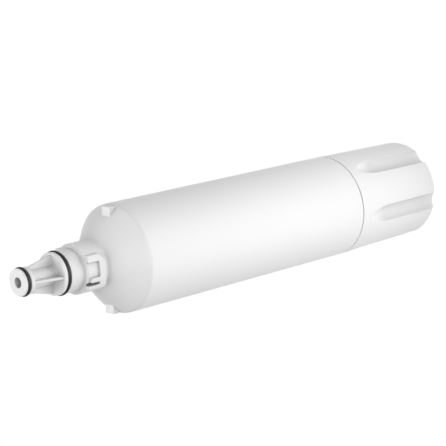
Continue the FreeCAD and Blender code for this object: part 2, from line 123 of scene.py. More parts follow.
class NoseSizes(bpy.types.PropertyGroup):
    """Collar, glands, ribbed nose and tip."""

    collar_radius: length("Radius of the collar and large disc", 10.0)
    collar_fillet: length("Rounding at the collar's foot", 0.5)
    disc: length("Thickness of the large disc", 1.85)
    core_radius: length("Radius of the core between the ribs", 4.5)
    core_fillet: length("Rounding at the core's ends", 0.35)
    tip_radius: length("Tip radius", 6.3)
    tip_flange: length("Flange behind the tip's seal", 2.15)
    port_radius: length("Radius of the water outlet", PORT["dims"]["r_mm"])
    edge_round: length("Rounding of the outer edges", 0.25)
    fine_round: length("Rounding of the glands' edges", 0.1)
    ring_stand: length("Stand of a seal out of its gland", 0.5)
    gland_clearance: length("Room round a seal", 0.06)
    rib_count: count("Ribs round the core", 4)
    rib_thickness: length("Rib thickness", 1.2)
    rib_inset: length("From a rib's foot to the disc's edge", 0.9)
    passage_radius: length("Radius of the water passage", 7.2)
    inlet_width: length("Inlet width", 1.7)
    inlet_span: angle("Angle that one inlet takes", 54.0)
    inlet_turn: angle("Direction of the first inlet", 45.0)
    inlet_step: angle("Angle to the next inlet", 90.0)
    inlet_count: count("Inlets through the large disc", 2)
    socket_radius: length("Socket radius", 4.6)
    socket_wall: length("Socket wall", 1.9)
    socket_low: length("Height of the socket's mouth", 197.8)
    socket_high: length("Height of the socket's floor", 208.3)


class LugSizes(bpy.types.PropertyGroup):
    """Bayonet lugs on the neck and stops on the shoulder."""

    number: count("Bayonet lugs", 2)
    reach: length("From the axis to a lug's crown", 13.0)
    crown: length("Crown radius", 20.0)
    width: length("Lug width", 16.0)
    rise: length("Lug length", 10.2)
    setback: length("From the neck's front to a lug", 0.35)
    wide_bar: length("Wide bar", 3.0)
    pocket: length("Window width", 7.3)
    pocket_rise: length("Window length", 6.4)
    mid_bar: length("Middle bar", 2.3)
    mid_setback: length("Setback of the middle bar", 1.4)
    slot: length("Slot width", 1.4)
    slot_depth: length("Depth of the slot in the neck", 3.0)
    chamfer: length("Cut corner on the broad side", 3.4)
    small_chamfer: length("Cut corner on the thin side", 1.1)
    edge_round: length("Rounding round a lug's face", 0.22)
    corner_round: length("Rounding of a lug's corners", 0.32)
    stops: count("Stops on the shoulder", 2)
    stop_width: length("Stop width", 5.7)
    stop_inset: length("From the barrel's outside to a stop", 0.5)
    stop_round: length("Stop rounding", 0.3)
    stop_lift: length("Stop above the shoulder's corner", 4.7)


class CapSizes(bpy.types.PropertyGroup):
    """Fluted grip cap."""

    taper: length("Radius lost from the seam to the end", 0.85)
    end_round: length("Rounding of the cap's end", 4.6)
    wall: length("Cap wall", 2.4)
    floor: length("Cap floor", 3.0)
    tongue: length("Tongue inside the barrel", 7.0)
    tongue_wall: length("Tongue wall", 2.0)
    tongue_clearance: length("Gap round the tongue", 0.3)
    flutes: count("Finger flutes", 6)
    flute_turn: angle("Direction of the first flute", 22.8)
    flute_radius: length("Radius of a flute's section", 4.52)
    flute_edge: length("Depth of a flute's rounded edge", 0.25)
    flute_depth: length("Flute depth", 4.0)
    flute_start: length("From the seam to a flute's tip", 7.2)
    flute_runout: length("Length of a flute's climb", 12.6)
    flute_wall: length("Wall behind a flute", 1.1)


class Finishes(bpy.types.PropertyGroup):
    """Colours and gloss of the mouldings, the seals and the filter core."""

    housing: colour("Housing", "housing_plastic")
    cap: colour("Grip cap", "cap_plastic")
    rubber: colour("Seals", "seal_rubber")
    carbon: colour("Carbon block", "pressed_carbon")
    wrap: colour("Wrap", "wrap_fabric")
    net: colour("Net", "net_plastic")
    core: colour("End caps", "core_plastic")
    satin: share("Roughness of the moulded plastic", 0.40)
    # Painted shade in the moulded plastic's recesses: how far it reaches and how grey it gets.
    painted_shade_reach: length("Reach of a recess's grey", 8.0)
    painted_recess_shade: share("Grey deep in a recess", 0.5)
    net_mesh: length("Size of the net's openings", 5.0)


class StudioSettings(bpy.types.PropertyGroup):
    """Camera, light and floor."""

    azimuth: angle("Direction of the camera", 18.10)
    elevation: angle("Height of the camera", 41.87)
    roll: angle("Turn of the camera about its own axis", -103.70)
    distance: length("From the camera to its aim", 802.90)
    aim: spot("Aim of camera and lights", (4.01 * MM, 1.31 * MM, 134.77 * MM))
    lens: amount("Focal length in millimetres", 131.16)
    sensor: amount("Sensor width in millimetres", 36.0)
    front_from: spot("Direction of the front light", (0.16, -0.96, 0.5))
    front_power: amount("Power of the front light", 5.2)
    top_from: spot("Direction of the top light", (0.0, 0.0, 1.0))
    top_power: amount("Power of the top light", 6.4)
    back_from: spot("Direction of the back light", (0.06, 0.55, 0.83))
    back_power: amount("Power of the back light", 2.9)
    light_size: length("Width of each light", 900.0)
    light_distance: length("From each light to its aim", 1100.0)
    ambient: share("Brightness of the surroundings", 0.15)
    floor_half: length("Half of the floor's width", 3000.0)
    floor_tone: share("Tone of the floor", 0.25)
    pool_glow: share("Floor's light round the cartridge", 0.83)
    pool_rest: share("Part of it that is left far away", 0.3)
    pool_centre: spot("Its middle", (-0.07, 0.17, 0.0))
    pool_inner: length("Radius of its bright part", 340.0)
    pool_outer: length("Radius of its rim", 950.0)
    apron_glow: amount("Floor's extra light in front", 1.3)
    apron_centre: spot("Middle of the extra light", (0.1, -0.36, 0.0))
    apron_inner: length("Radius of its bright part", 190.0)
    apron_outer: length("Radius of its rim", 370.0)


# Node trees

def maths(operation, swapped=False):
    """A method that adds one Math node, with its owner as the first term or, swapped, as the last."""
    def apply(self, *others):
        terms = (*others, self) if swapped else (self, *others)
        return self.math(operation, *terms)
    return apply


class Value:
    """A number that a node tree works out: operators on it add Math nodes to the tree."""

    def __init__(self, tree, socket):
        self.tree = tree
        self.socket = socket

    def math(self, operation, *terms):
        """Add one Math node over these terms."""
        node = self.tree.nodes.new("ShaderNodeMath")
        node.operation = operation
        for place, term in zip(node.inputs, terms):
            plug(self.tree, place, term)
        return Value(self.tree, node.outputs[0])

    __add__ = maths("ADD")
    __radd__ = maths("ADD", swapped=True)
    __sub__ = maths("SUBTRACT")
    __rsub__ = maths("SUBTRACT", swapped=True)
    __mul__ = maths("MULTIPLY")
    __rmul__ = maths("MULTIPLY", swapped=True)
    __truediv__ = maths("DIVIDE")
    __rtruediv__ = maths("DIVIDE", swapped=True)
    __gt__ = maths("GREATER_THAN")
    most = maths("MAXIMUM")
    soft_least = maths("SMOOTH_MIN")
    root = maths("SQRT")
    sine = maths("SINE")
    cosine = maths("COSINE")
    bearing = maths("ARCTAN2")
    wrapped = maths("WRAP")


def plug(tree, place, term):
    """Link a value to a socket, or set the socket to a number, colour or vector."""
    if isinstance(term, Value):
        tree.links.new(term.socket, place)
    else:
        place.default_value = term


class Recipe:
    """A node tree under construction."""

    def __init__(self, tree):
        self.tree = tree

    def add(self, kind, sockets=None, **settings):
        """Add a node: its settings first, then the values or links of its sockets."""
        node = self.tree.nodes.new(kind)
        for name, setting in settings.items():
            setattr(node, name, setting)
        for name, term in (sockets or {}).items():
            plug(self.tree, self.socket(node.inputs, name), term)
        return node

    def value(self, node, name=0):
        """One output of a node as a Value."""
        return Value(self.tree, self.socket(node.outputs, name))

    def make(self, kind, sockets=None, output=0, **settings):
        """Add a node and return one of its outputs."""
        return self.value(self.add(kind, sockets, **settings), output)

    def split(self, vector):
        """The three parts of a vector."""
        node = self.add("ShaderNodeSeparateXYZ", {"Vector": vector})
        return [self.value(node, axis) for axis in ("X", "Y", "Z")]

    @staticmethod
    def socket(sockets, name):
        """Find a socket by identifier, or else by name or number."""
        for socket in sockets:
            if socket.identifier == name:
                return socket
        return sockets[name]


# Materials

class Surface(Recipe):
    """A material under construction: a Principled shader with the values that are the same all over it."""

    def __init__(self, name, **uniform):
        self.material = bpy.data.materials.new(name)
        self.material.use_nodes = True
        super().__init__(self.material.node_tree)
        self.shader = self.tree.nodes["Principled BSDF"]
        for socket, setting in uniform.items():
            self.shader.inputs[socket.replace("_", " ")].default_value = setting
        self.place = self.make("ShaderNodeTexCoord", output="Object")

    def noise(self, grain, detail=2.0, roughness=0.5, place=None):
        """Fractal noise whose features are about as large as the grain, in metres."""
        place = place or self.place
        sockets = {"Vector": place, "Scale": 1 / grain, "Detail": detail, "Roughness": roughness}
        return self.make("ShaderNodeTexNoise", sockets, "Fac", normalize=True)

    def tinted(self, shade, low, high):
        """A colour between two others, by a value from 0 to 1."""
        sockets = {"Factor_Float": shade, "A_Color": (*low, 1), "B_Color": (*high, 1)}
        return self.make("ShaderNodeMix", sockets, "Result_Color", data_type="RGBA")

    def feed(self, terms):
        """Plug what changes over the surface into the shader's sockets, and return the material."""
        for socket, term in terms.items():
            plug(self.tree, self.shader.inputs[socket], term)
        return self.material

    def dress(self, tint, gloss, height, depth):
        """Finish with a colour, a roughness and a bump of a given depth, in metres."""
        sockets = {"Height": height, "Distance": depth, "Strength": 1.0}
        bump = self.make("ShaderNodeBump", sockets, "Normal")
        return self.feed({"Base Color": tint, "Roughness": gloss, "Normal": bump})


def faded(tone, part):
    """A colour taken a part of the way to black."""
    return tuple(channel * (1 - part) for channel in tone)


def varied(middle, pattern, swing):
    """A value that a pattern moves about its middle."""
    return middle + (pattern - 0.5) * swing


def moulded_plastic(name, tone, finish):
    """White moulded plastic, greyer in recesses, with a fine tool texture and a faint flow of the melt."""
    skin = Surface(name, Specular_IOR_Level=0.45)
    texture = skin.noise(0.35 * MM, detail=3.0)
    flow = skin.noise(22 * MM)
    # Painted shade: an ambient-occlusion node greys the colour in recesses and corners, where shade falls.
    sockets = {"Distance": finish.painted_shade_reach}
    painted_shade_openness = skin.make("ShaderNodeAmbientOcclusion", sockets, "AO", samples=8, only_local=True)
    tint = skin.tinted(painted_shade_openness * varied(0.98, flow, 0.04), faded(tone, finish.painted_recess_shade), tone)
    gloss = varied(varied(finish.satin, flow, 0.08), texture, 0.10)
    return skin.dress(tint, gloss, texture, 0.008 * MM)


def seal_rubber(name, tone):
    """Black rubber with a film of grease that lies unevenly on it."""
    rubber = Surface(name, Specular_IOR_Level=0.45)
    skin = rubber.noise(0.12 * MM, detail=4.0)
    grease = rubber.noise(2.2 * MM)
    tint = rubber.tinted(grease, faded(tone, 0.25), tone)
    gloss = varied(varied(0.36, grease, 0.30), skin, 0.12)
    return rubber.dress(tint, gloss, skin, 0.006 * MM)


def pressed_carbon(name, tone):
    """Dry pressed carbon: dark grains of several sizes with pores between them."""
    block = Surface(name, Specular_IOR_Level=0.25)
    sockets = {"Vector": block.place, "Scale": 1 / (0.7 * MM), "Randomness": 1.0}
    grains = block.make("ShaderNodeTexVoronoi", sockets, "Distance", feature="F1")
    dust = block.noise(3 * MM, detail=5.0)
    tint = block.tinted((grains + dust) * 0.6, tone, faded(tone, 0.7))
    return block.dress(tint, 0.82 + dust * 0.15, grains, 0.12 * MM)


def wrap_fabric(name, tone):
    """Non-woven wrap: fibres that lie in all directions."""
    sheet = Surface(name, Sheen_Weight=0.2)
    sockets = {"Vector": sheet.place, "Scale": (1.0, 1.0, 0.25)}
    stretched = sheet.make("ShaderNodeMapping", sockets, "Vector")
    fibres = sheet.noise(0.25 * MM, detail=6.0, roughness=0.7, place=stretched)
    cloud = sheet.noise(6 * MM, detail=3.0)
    tint = sheet.tinted(fibres * 0.6 + cloud * 0.4, faded(tone, 0.12), tone)
    return sheet.dress(tint, varied(0.85, fibres, 0.2), fibres, 0.05 * MM)


def natural_plastic(name, tone):
    """Plain natural plastic of the inner mouldings, a little waxy."""
    skin = Surface(name, Specular_IOR_Level=0.4)
    haze = skin.noise(9 * MM, detail=3.0)
    texture = skin.noise(0.5 * MM)
    tint = skin.tinted(haze, faded(tone, 0.05), tone)
    return skin.dress(tint, varied(0.5, haze, 0.15), texture, 0.01 * MM)


def extruded_net(name, tone, radius, mesh_size):
    """Extruded net: two sets of crossing strands, raised, with darker openings between them."""
    net = Surface(name, Specular_IOR_Level=0.4)
    x, y, z = net.split(net.place)
    round_way = y.bearing(x) * radius
    turns = FULL_TURN / mesh_size
    left = ((round_way + z) * turns).sine()
    right = ((round_way - z) * turns).sine()
    strands = left.most(right)
    tint = net.tinted(strands.most(0.0), faded(tone, 0.45), tone)
    return net.dress(tint, 0.55 - strands * 0.05, strands, 0.25 * MM)


def glow_patch(sheet, centre, inner, outer, bright, dim):
    """A round patch of light on the floor, bright in its middle and dim beyond its rim."""
    sockets = {"Vector": sheet.place, "Vector_001": centre}
    away = sheet.make("ShaderNodeVectorMath", sockets, "Value", operation="DISTANCE")
    sockets = {"Value": away, "From Min": inner, "From Max": outer}
    fade = sheet.make("ShaderNodeMapRange", sockets, "Result", interpolation_type="SMOOTHSTEP")
    return sheet.tinted(fade, (bright, bright, bright), (dim, dim, dim))


def white_sheet(name, studio):
    """The studio's white floor. It gives off light, most of it in front, so shadows on it stay faint."""
    sheet = Surface(name, Roughness=0.9, Emission_Strength=1.0)
    tone = (studio.floor_tone, studio.floor_tone, studio.floor_tone)
    tint = sheet.tinted(sheet.noise(40 * MM, detail=3.0), faded(tone, 0.04), tone)
    far_glow = studio.pool_rest * studio.pool_glow
    pool = glow_patch(
        sheet, studio.pool_centre, studio.pool_inner, studio.pool_outer, studio.pool_glow, far_glow
    )
    apron = glow_patch(
        sheet, studio.apron_centre, studio.apron_inner, studio.apron_outer, studio.apron_glow, 0.0
    )
    sockets = {"Vector": pool, "Vector_001": apron}
    light = sheet.make("ShaderNodeVectorMath", sockets, "Vector", operation="ADD")
    return sheet.feed({"Base Color": tint, "Emission Color": light})


# Outlines and meshes

class Corner:
    """A corner of an outline: its place, the radius that rounds it and a mark to find it by."""

    def __init__(self, across, up, rounding=0.0, mark=None):
        self.place = Vector((across, up))
        self.rounding = rounding
        self.mark = mark


class Outline:
    """A closed outline with its corners rounded by arcs, and the number of each marked point."""

    GUARD = 0.15 * MM

    def __init__(self, corners, open_ends=False, arc_step=12.0):
        self.arc_step = math.radians(arc_step)
        self.points = []
        self.marks = {}
        total = len(corners)
        for number, corner in enumerate(corners):
            at_end = open_ends and number in (0, total - 1)
            before = corners[number - 1]
            after = corners[(number + 1) % total]
            if corner.mark:
                self.marks[corner.mark] = len(self.points)
            if corner.rounding == 0 or at_end:
                self.points.append(corner.place.copy())
            else:
                self.points.extend(self.arc(before, corner, after))

    def arc(self, before, corner, after):
        """Points of the arc that rounds a corner, with a guard point on each straight side next to it."""
        back = (before.place - corner.place).normalized()
        ahead = (after.place - corner.place).normalized()
        opening = back.angle(ahead)
        run = corner.rounding / math.tan(opening / 2)
        middle = corner.place + (back + ahead).normalized() * (corner.rounding / math.sin(opening / 2))
        start = corner.place + back * run - middle
        turn = math.copysign(math.pi - opening, ahead.x * back.y - ahead.y * back.x)
        steps = max(2, math.ceil(abs(turn) / self.arc_step))
        points = []
        if (before.place - corner.place).length > run + before.rounding + 3 * self.GUARD:
            points.append(corner.place + back * (run + self.GUARD))
        for step in range(steps + 1):
            swing = turn * step / steps
            spoke = Vector((
                start.x * math.cos(swing) - start.y * math.sin(swing),
                start.x * math.sin(swing) + start.y * math.cos(swing),
            ))
            points.append(middle + spoke)
        if (after.place - corner.place).length > run + after.rounding + 3 * self.GUARD:
            points.append(corner.place + ahead * (run + self.GUARD))
        return points

    def inset(self, distance):
        """The outline's points moved inwards by a distance."""
        ends = list(zip(self.points[-1:] + self.points[:-1], self.points, self.points[1:] + self.points[:1]))
        area = sum(point.x * after.y - point.y * after.x for _, point, after in ends)
        inwards = math.copysign(distance, area)
        moved = []
        for before, point, after in ends:
            coming = (point - before).normalized()
            going = (after - point).normalized()
            sideways = Vector((-coming.y - going.y, coming.x + going.x))
            moved.append(point + sideways * (inwards / (1 + coming.dot(going))))
        return moved


def parts(low, high, number):
    """Values from one to another in equal parts, without the last."""
    return [low + (high - low) * part / number for part in range(number)]


def spread(low, high, step):
    """Values from one to another, at most a step apart, without the last."""
    return parts(low, high, max(1, math.ceil((high - low) / step)))


class Lathe:
    """Turns an outline of radius and height about the axis into a closed mesh."""

    POLE = 1e-9

    def __init__(self, outline, directions):
        self.mesh = bmesh.new()
        self.directions = directions
        self.marks = outline.marks
        self.rings = [self.ring(point) for point in outline.points]
        self.skipped = set()

    def ring(self, point):
        """The vertices of one outline point: a ring of them, or one on the axis."""
        if point.x < self.POLE:
            return [self.mesh.verts.new((0.0, 0.0, point.y))]
        return [
            self.mesh.verts.new((point.x * math.cos(turn), point.x * math.sin(turn), point.y))
            for turn in self.directions
        ]

    def tunnel(self, marks, first, last):
        """Open a curved slot between two faces of the turned shape, from one step round it to another."""
        front_in, front_out, back_out, back_in = (self.marks[mark] for mark in marks)
        for step in range(first, last):
            self.skipped.add((front_in, step % len(self.directions)))
            self.skipped.add((back_out, step % len(self.directions)))
            self.face((front_out, step), (front_out, step + 1), (back_out, step + 1), (back_out, step))
            self.face((front_in, step), (front_in, step + 1), (back_in, step + 1), (back_in, step))
        for step in (first, last):
            self.face((front_in, step), (front_out, step), (back_out, step), (back_in, step))

    def face(self, *corners):
        """A face through ring and step pairs, less any corner that repeats on the axis."""
        verts = []
        for number, step in corners:
            ring = self.rings[number % len(self.rings)]
            vert = ring[step % len(ring)]
            if vert not in verts:
                verts.append(vert)
        if len(verts) > 2:
            self.mesh.faces.new(verts)

    def close(self, closed=True):
        """Add the turned faces and return the mesh."""
        last = len(self.rings) if closed else len(self.rings) - 1
        for ring in range(last):
            for step in range(len(self.directions)):
                if (ring, step) not in self.skipped:
                    self.face((ring, step), (ring + 1, step), (ring + 1, step + 1), (ring, step + 1))
        bmesh.ops.recalc_face_normals(self.mesh, faces=self.mesh.faces)
        return self.mesh


def plate(outline, root, face, rounding, both_faces=False):
    """Stand an outline of X and Z up as a plate along Y, with a rounded rim round its face or both faces."""
    steps = 4
    way = math.copysign(rounding, face - root)
    swings = [math.pi / 2 * step / steps for step in range(steps + 1)]
    rims = [(face - way * (1 - math.sin(swing)), rounding * (1 - math.cos(swing))) for swing in swings]
    if both_faces:
        rims = [(root + face - place, inset) for place, inset in reversed(rims)] + rims
    else:
        rims = [(root, 0.0)] + rims
    mesh = bmesh.new()
    rings = []
    for place, inset in rims:
        rings.append([mesh.verts.new((point.x, place, point.y)) for point in outline.inset(inset)])
    mesh.faces.new(rings[0])
    mesh.faces.new(rings[-1])
    for near, far in zip(rings, rings[1:]):
        for step in range(len(near)):
            mesh.faces.new((near[step - 1], near[step], far[step], far[step - 1]))
    bmesh.ops.recalc_face_normals(mesh, faces=mesh.faces)
    return mesh


def link_object(name, data):
    """Add an object to the scene."""
    item = bpy.data.objects.new(name, data)
    bpy.context.scene.collection.objects.link(item)
    return item


def add_object(name, mesh):
    """Make an object of a bmesh, which is freed."""
    data = bpy.data.meshes.new(name)
    mesh.to_mesh(data)
    mesh.free()
    return link_object(name, data)


def bake(piece):
    """Turn an object with its modifiers into a plain mesh."""
    bpy.context.view_layer.update()
    graph = bpy.context.evaluated_depsgraph_get()
    data = bpy.data.meshes.new_from_object(piece.evaluated_get(graph), depsgraph=graph)
    old = piece.data
    piece.modifiers.clear()
    piece.data = data
    bpy.data.meshes.remove(old)
    return piece


def remove(piece):
    """Delete a helper object and its mesh."""
    data = piece.data
    bpy.data.objects.remove(piece)
    bpy.data.meshes.remove(data)


def smooth(piece, sharp):
    """Shade a piece smooth, apart from edges sharper than an angle in degrees."""
    piece.data.shade_smooth()
    piece.data.set_sharp_from_angle(angle=math.radians(sharp))


def hand_over(piece, node):
    """Tie a finished piece to the body, to the solid that it stands for and to its finish."""
    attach(piece, BODY)
    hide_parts(node)


# Geometry Nodes

def new_tree(name, inputs):
    """Start a geometry tree with named inputs, and return its recipe and its input node."""
    tree = bpy.data.node_groups.new(name, "GeometryNodeTree")
    tree.interface.new_socket("Geometry", in_out="INPUT", socket_type="NodeSocketGeometry")
    for title, kind in inputs:
        tree.interface.new_socket(title, in_out="INPUT", socket_type=kind)
    tree.interface.new_socket("Geometry", in_out="OUTPUT", socket_type="NodeSocketGeometry")
    recipe = Recipe(tree)
    return recipe, recipe.add("NodeGroupInput")


def end_tree(recipe, source, geometry):
    """Close a geometry tree: realise its instances and give them the material."""
    whole = recipe.make("GeometryNodeRealizeInstances", {"Geometry": geometry}, "Geometry")
    sockets = {"Geometry": whole, "Material": recipe.value(source, "Material")}
    painted = recipe.make("GeometryNodeSetMaterial", sockets, "Geometry")
    recipe.add("NodeGroupOutput", {"Geometry": painted})
    return recipe.tree


def run_tree(piece, tree, **settings):
    """Put a piece through a geometry tree, with the tree's named inputs set."""
    modifier = piece.modifiers.new(tree.name, "NODES")
    modifier.node_group = tree
    for item in tree.interface.items_tree:
        if item.in_out == "INPUT" and item.name in settings:
            modifier[item.identifier] = settings[item.name]
    return bake(piece)


def ring_tree():
    """A tree that repeats a shape evenly round the axis."""
    inputs = [("Count", "NodeSocketInt"), ("Material", "NodeSocketMaterial")]
    recipe, source = new_tree("Repeat round the axis", inputs)
    number = recipe.value(source, "Count")
    one = recipe.make("GeometryNodeGeometryToInstance", {"Geometry": recipe.value(source, "Geometry")})
    sockets = {"Geometry": one, "Amount": number}
    copies = recipe.add("GeometryNodeDuplicateElements", sockets, domain="INSTANCE")
    turn = recipe.value(copies, "Duplicate Index") * (FULL_TURN / number)
    euler = recipe.make("ShaderNodeCombineXYZ", {"Z": turn})
    rotation = recipe.make("FunctionNodeEulerToRotation", {"Euler": euler})
    sockets = {"Instances": recipe.value(copies, "Geometry"), "Rotation": rotation, "Local Space": False}
    ring = recipe.make("GeometryNodeRotateInstances", sockets, "Instances")
    return end_tree(recipe, source, ring)


def flute_tree():
    """A tree that presses round flutes into a turned shape: each runs along the wall, then climbs out."""
    titles = ("Turn", "Radius", "Depth", "Edge", "End Radius", "Narrowing", "Climb Start", "Climb Length")
    inputs = [("Count", "NodeSocketInt"), *((title, "NodeSocketFloat") for title in titles)]
    recipe, source = new_tree("Press flutes", [*inputs, ("Material", "NodeSocketMaterial")])
    number, turn, cutter, depth, edge, end, narrowing, start, climb = (
        recipe.value(source, title) for title, _ in inputs
    )
    x, y, z = recipe.split(recipe.make("GeometryNodeInputPosition"))
    sockets = {"Name": "inset"}
    inset = recipe.make("GeometryNodeInputNamedAttribute", sockets, "Attribute", data_type="FLOAT")
    cutter_here = cutter + inset
    radius = (x * x + y * y).root().most(TINY)
    half_pitch = math.pi / number
    swing = (y.bearing(x) - turn).wrapped(half_pitch, half_pitch * -1)
    seat = end + narrowing * z + cutter - depth
    slope = depth / climb
    stretch = (slope * slope + 1).root()
    run_floor = ray_to_cutter(seat, swing, cutter_here, cutter_here)
    climb_floor = ray_to_cutter(seat + slope * (z - start), swing, cutter_here * stretch, cutter_here)
    pressed = radius.soft_least(run_floor.most(climb_floor), edge) / radius
    place = recipe.make("ShaderNodeCombineXYZ", {"X": x * pressed, "Y": y * pressed, "Z": z})
    sockets = {"Geometry": recipe.value(source, "Geometry"), "Position": place}
    return end_tree(recipe, source, recipe.make("GeometryNodeSetPosition", sockets, "Geometry"))


def ray_to_cutter(centre, swing, deep, wide):
    """Distance from the axis to an oval cutter's near side along a ray, or a long way where it misses."""
    far = 1.0
    along = swing.cosine() / deep
    across = swing.sine() / wide
    offset = centre / deep
    square = along * along + across * across
    middle = offset * along
    overlap = middle * middle - square * (offset * offset - 1)
    near = (middle - overlap.most(0.0).root()) / square
    missed = 1 - (overlap > 0.0)
    return near + missed * far


# Pieces

class Stations:
    """Heights along the axis that the pieces share."""

    def __init__(self, barrel, nose):
        ring = NECK_RING_HIGH.z - NECK_RING_LOW.z
        gland = ring + 2 * nose.gland_clearance
        self.seam = HOUSING_LOW.z
        self.corner = self.seam + barrel.barrel
        self.neck_root = self.corner + barrel.shoulder
        self.neck_front = self.neck_root + barrel.neck
        self.neck_gland = NECK_RING_LOW.z - nose.gland_clearance
        self.disc_back = self.neck_gland + gland
        self.disc_front = self.disc_back + nose.disc
        self.tip_gland = TIP_RING_LOW.z - nose.gland_clearance
        self.flange_back = self.tip_gland - nose.tip_flange
        self.tip_disc_back = self.tip_gland + gland
        self.tip = HOUSING_HIGH.z
        self.gland_depth = ring + nose.gland_clearance - nose.ring_stand
        self.slope = barrel.shoulder / (barrel.radius - barrel.neck_radius)

    def cone(self, barrel, radius):
        """Height of the shoulder's outside at a radius."""
        return self.corner + (barrel.radius - radius) * self.slope


def housing_outline(barrel, nose, at):
    """The housing's section: outside from the tip to the seam, then back up inside."""
    bore = barrel.radius - barrel.wall
    drop = barrel.wall * math.hypot(at.slope, 1.0)
    inlet_inner = nose.passage_radius - nose.inlet_width
    tube = nose.socket_radius + nose.socket_wall
    tube_step = nose.socket_high + nose.socket_wall
    tip_floor = nose.tip_radius - at.gland_depth
    neck_floor = nose.collar_radius - at.gland_depth
    half_gap = barrel.seam_gap / 2
    fine = nose.fine_round
    edge = nose.edge_round
    return Outline([
        Corner(nose.port_radius, at.tip, edge),
        Corner(nose.tip_radius, at.tip, edge),
        Corner(nose.tip_radius, at.tip_disc_back, fine),
        Corner(tip_floor, at.tip_disc_back, fine),
        Corner(tip_floor, at.tip_gland, fine),
        Corner(nose.tip_radius, at.tip_gland, fine),
        Corner(nose.tip_radius, at.flange_back, edge),
        Corner(nose.core_radius, at.flange_back, nose.core_fillet),
        Corner(nose.core_radius, at.disc_front, nose.core_fillet),
        Corner(inlet_inner, at.disc_front, mark="front_in"),
        Corner(nose.passage_radius, at.disc_front, mark="front_out"),
        Corner(nose.collar_radius, at.disc_front, edge),
        Corner(nose.collar_radius, at.disc_back, fine),
        Corner(neck_floor, at.disc_back, fine),
        Corner(neck_floor, at.neck_gland, fine),
        Corner(nose.collar_radius, at.neck_gland, fine),
        Corner(nose.collar_radius, at.neck_front, nose.collar_fillet),
        Corner(barrel.neck_radius - barrel.neck_chamfer, at.neck_front, fine),
        Corner(barrel.neck_radius, at.neck_front - barrel.neck_chamfer, fine),
        Corner(barrel.neck_radius, at.neck_root, barrel.neck_fillet),
        Corner(barrel.radius, at.corner, barrel.shoulder_round),
        Corner(barrel.radius, at.seam + half_gap, fine),
        Corner(barrel.radius - barrel.seam_depth, at.seam + half_gap),
        Corner(barrel.radius - barrel.seam_depth, at.seam),
        Corner(bore, at.seam),
        Corner(bore, at.cone(barrel, bore) - drop),
        Corner(nose.passage_radius, at.cone(barrel, nose.passage_radius) - drop),
        Corner(nose.passage_radius, at.disc_back, mark="back_out"),
        Corner(inlet_inner, at.disc_back, mark="back_in"),
        Corner(nose.core_radius, at.disc_back),
        Corner(nose.core_radius, tube_step + tube - nose.core_radius),
        Corner(tube, tube_step),
        Corner(tube, nose.socket_low),
        Corner(nose.socket_radius, nose.socket_low),
        Corner(nose.socket_radius, nose.socket_high),
        Corner(nose.port_radius, nose.socket_high),
    ])


def turned_housing(barrel, nose, at):
    """The turned part of the housing, with the inlet slots through its large disc."""
    steps = 240
    lathe = Lathe(housing_outline(barrel, nose, at), parts(0.0, FULL_TURN, steps))
    for inlet in range(nose.inlet_count):
        middle = nose.inlet_turn + inlet * nose.inlet_step
        first = round((middle - nose.inlet_span / 2) / FULL_TURN * steps)
        last = round((middle + nose.inlet_span / 2) / FULL_TURN * steps)
        lathe.tunnel(("front_in", "front_out", "back_out", "back_in"), first, last)
    return add_object("housing_shell", lathe.close())


def nose_rib(nose, at):
    """One rib of the nose, widening from the tip flange to the large disc."""
    root = (nose.core_radius + nose.port_radius) / 2
    outer = nose.tip_radius - nose.edge_round
    foot = nose.collar_radius - nose.rib_inset
    top = at.flange_back + nose.tip_flange / 2
    bottom = at.disc_front - nose.disc / 2
    outline = Outline([
        Corner(root, top),
        Corner(outer, top),
        Corner(outer, at.flange_back),
        Corner(foot, at.disc_front),
        Corner(foot, bottom),
        Corner(root, bottom),
    ])
    half = nose.rib_thickness / 2
    return add_object("nose_ribs", plate(outline, -half, half, nose.fine_round, both_faces=True))


def bayonet_lug(lug, nose, at):
    """One bayonet lug: a crowned plate with a wide bar, a window, a middle bar, a slot and a thin bar."""
    front = at.neck_front - lug.setback
    back = front - lug.rise
    window = front - lug.pocket_rise
    side = lug.width / 2
    window_side = side - lug.wide_bar
    mid_top = window_side - lug.pocket
    slot_top = mid_top - lug.mid_bar
    slot_low = slot_top - lug.slot
    tight = lug.corner_round
    outline = Outline([
        Corner(side, front, tight),
        Corner(side, back + lug.chamfer, tight),
        Corner(side - lug.chamfer, back, tight),
        Corner(lug.small_chamfer - side, back, tight),
        Corner(-side, back + lug.small_chamfer, tight),
        Corner(-side, front, tight),
        Corner(slot_low, front, tight),
        Corner(slot_low, window, tight),
        Corner(slot_top, window, tight),
        Corner(slot_top, front - lug.mid_setback, tight),
        Corner(mid_top, front - lug.mid_setback, tight),
        Corner(mid_top, window, tight),
        Corner(window_side, window, tight),
        Corner(window_side, front, tight),
    ])
    mesh = plate(outline, -nose.passage_radius, -lug.reach, lug.edge_round)
    strips = 20
    for strip in range(1, strips):
        cut = -side + lug.width * strip / strips
        whole = mesh.verts[:] + mesh.edges[:] + mesh.faces[:]
        bmesh.ops.bisect_plane(mesh, geom=whole, plane_co=(cut, 0, 0), plane_no=(1, 0, 0), dist=TINY)
    for vert in mesh.verts:
        if vert.co.y < -nose.passage_radius - MM:
            vert.co.y += lug.crown - math.sqrt(lug.crown ** 2 - vert.co.x ** 2)
    return add_object("bayonet_lugs", mesh)


def lug_slit(barrel, lug, at):
    """The cutter that takes a lug's narrow slot on into the neck, a hair inside the slot's own walls."""
    hair = 0.04 * MM
    front = at.neck_front - lug.setback
    back = front - lug.pocket_rise + hair
    slot_top = lug.width / 2 - lug.wide_bar - lug.pocket - lug.mid_bar - hair
    slot_low = slot_top - lug.slot + 2 * hair
    floor = math.sqrt(barrel.neck_radius ** 2 - slot_low ** 2) - lug.slot_depth
    outline = Outline([
        Corner(slot_low, front, lug.corner_round),
        Corner(slot_low, back, lug.corner_round),
        Corner(slot_top, back, lug.corner_round),
        Corner(slot_top, front, lug.corner_round),
    ])
    return add_object("lug_slits", plate(outline, -lug.reach, -floor, lug.edge_round))


